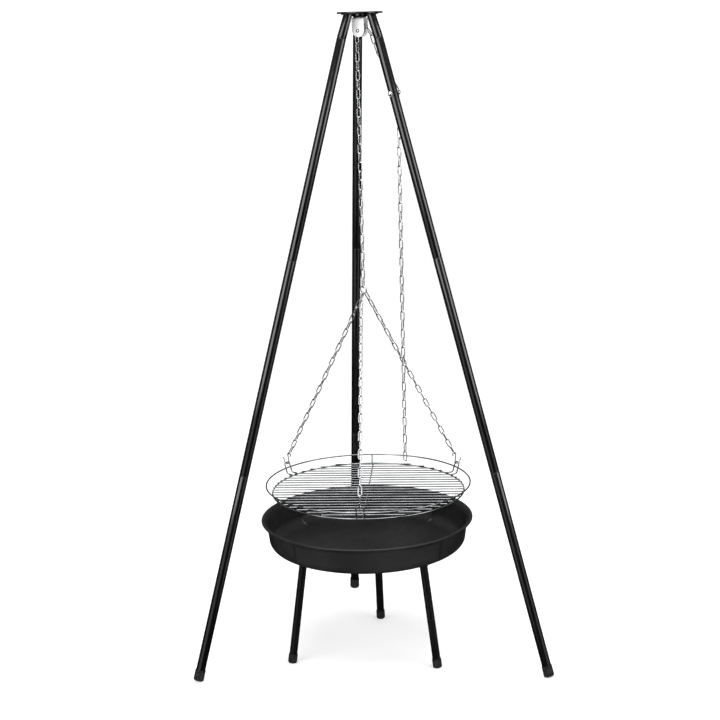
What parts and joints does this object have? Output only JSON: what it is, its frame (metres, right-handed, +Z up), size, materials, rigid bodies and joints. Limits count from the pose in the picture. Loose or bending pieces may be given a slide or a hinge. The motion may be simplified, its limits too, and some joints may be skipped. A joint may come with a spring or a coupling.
{
  "type": "campfire tripod grate",
  "caption": "Campfire tripod with plug-in tube legs and a roller chain hoist that holds a round wire grate over a free-standing steel fire bowl.",
  "frame": {"origin": "on the ground, at the middle of the whole assembly's footprint", "axes": "+Z up; -Y is the front, between the two front legs; +X to the right as seen from the front"},
  "size_m": [0.851, 0.7032, 1.54],
  "materials": {
    "black_paint": "gloss black enamel on steel tube",
    "black_rubber": "matt moulded rubber",
    "zinc": "bright zinc plating",
    "chrome_wire": "polished chrome plating on wire",
    "bowl_paint": "satin heat-proof black"
  },
  "bodies": {
    "tripod": {"head_plate": "black_paint", "socket_left": "black_paint", "socket_right": "black_paint", "socket_back": "black_paint", "leg_upper_left": "black_paint", "leg_middle_left": "black_paint", "leg_lower_left": "black_paint", "leg_upper_right": "black_paint", "leg_middle_right": "black_paint", "leg_lower_right": "black_paint", "leg_upper_back": "black_paint", "leg_middle_back": "black_paint", "leg_lower_back": "black_paint", "foot_left": "black_rubber", "foot_right": "black_rubber", "foot_back": "black_rubber", "pulley_bracket": "zinc", "pulley_pin": "zinc", "hanger_bolt": "zinc", "head_boss": "black_paint", "hook_bolt": "zinc", "dome_nut": "zinc", "chain_run": "zinc"},
    "roller": {"pulley_roller": "zinc"},
    "top_link": {"chain_top_link": "zinc"},
    "main_chain": {"chain_main": "zinc"},
    "hub": {"hub_ring": "zinc"},
    "grate": {"sling_front": "zinc", "sling_right": "zinc", "sling_left": "zinc", "s_hook_front": "zinc", "s_hook_right": "zinc", "s_hook_left": "zinc", "grate_upper_ring": "chrome_wire", "grate_lower_ring": "chrome_wire", "grate_bars": "chrome_wire", "grate_hanger_front": "chrome_wire", "grate_hanger_right": "chrome_wire", "grate_hanger_left": "chrome_wire", "grate_strut_back": "chrome_wire", "grate_strut_front_left": "chrome_wire", "grate_strut_front_right": "chrome_wire"},
    "tail": {"chain_tail": "zinc"},
    "bowl": {"bowl_pan": "bowl_paint", "bowl_socket_front_left": "bowl_paint", "bowl_leg_front_left": "bowl_paint", "bowl_foot_front_left": "black_rubber", "bowl_socket_front_right": "bowl_paint", "bowl_leg_front_right": "bowl_paint", "bowl_foot_front_right": "black_rubber", "bowl_socket_back": "bowl_paint", "bowl_leg_back": "bowl_paint", "bowl_foot_back": "black_rubber"}
  },
  "joints": [
    {"name": "roller_spin", "type": "hinge", "parent": "tripod", "child": "roller", "pos_m": [0.00677, -0.04387, 1.497], "axis": [0.521, 0.8536, 0], "range_deg": [-165, 325]},
    {"name": "chain_swing_across", "type": "hinge", "parent": "tripod", "child": "top_link", "pos_m": [-0.00091, -0.03918, 1.4691], "axis": [0.8536, -0.521, 0], "range_deg": [-3, 0.3]},
    {"name": "chain_swing_along", "type": "hinge", "parent": "top_link", "child": "main_chain", "pos_m": [-0.00091, -0.03918, 1.4477], "axis": [0.521, 0.8536, 0], "range_deg": [-2.5, 0.3]},
    {"name": "grate_height", "type": "slide", "parent": "main_chain", "child": "hub", "axis": [0, 0, 1], "range_m": [-0.025, 0.05], "deforming": ["chain_main"]},
    {"name": "grate_turn", "type": "hinge", "parent": "hub", "child": "grate", "pos_m": [-0.00091, -0.03918, 0.881], "axis": [0, 0, 1], "range_deg": [-10, 35]},
    {"name": "tail_swing", "type": "hinge", "parent": "tripod", "child": "tail", "pos_m": [0.09075, -0.07111, 1.3375], "axis": [0.8536, -0.521, 0], "range_deg": [-3, 3]},
    {"name": "bowl_slide", "type": "slide", "parent": "tripod", "child": "bowl", "axis": [0, -1, 0], "range_m": [0, 0.6]}
  ],
  "couplings": [
    {"joint": "roller_spin", "follows": "grate_height", "rad_per_m": 111.11}
  ]
}
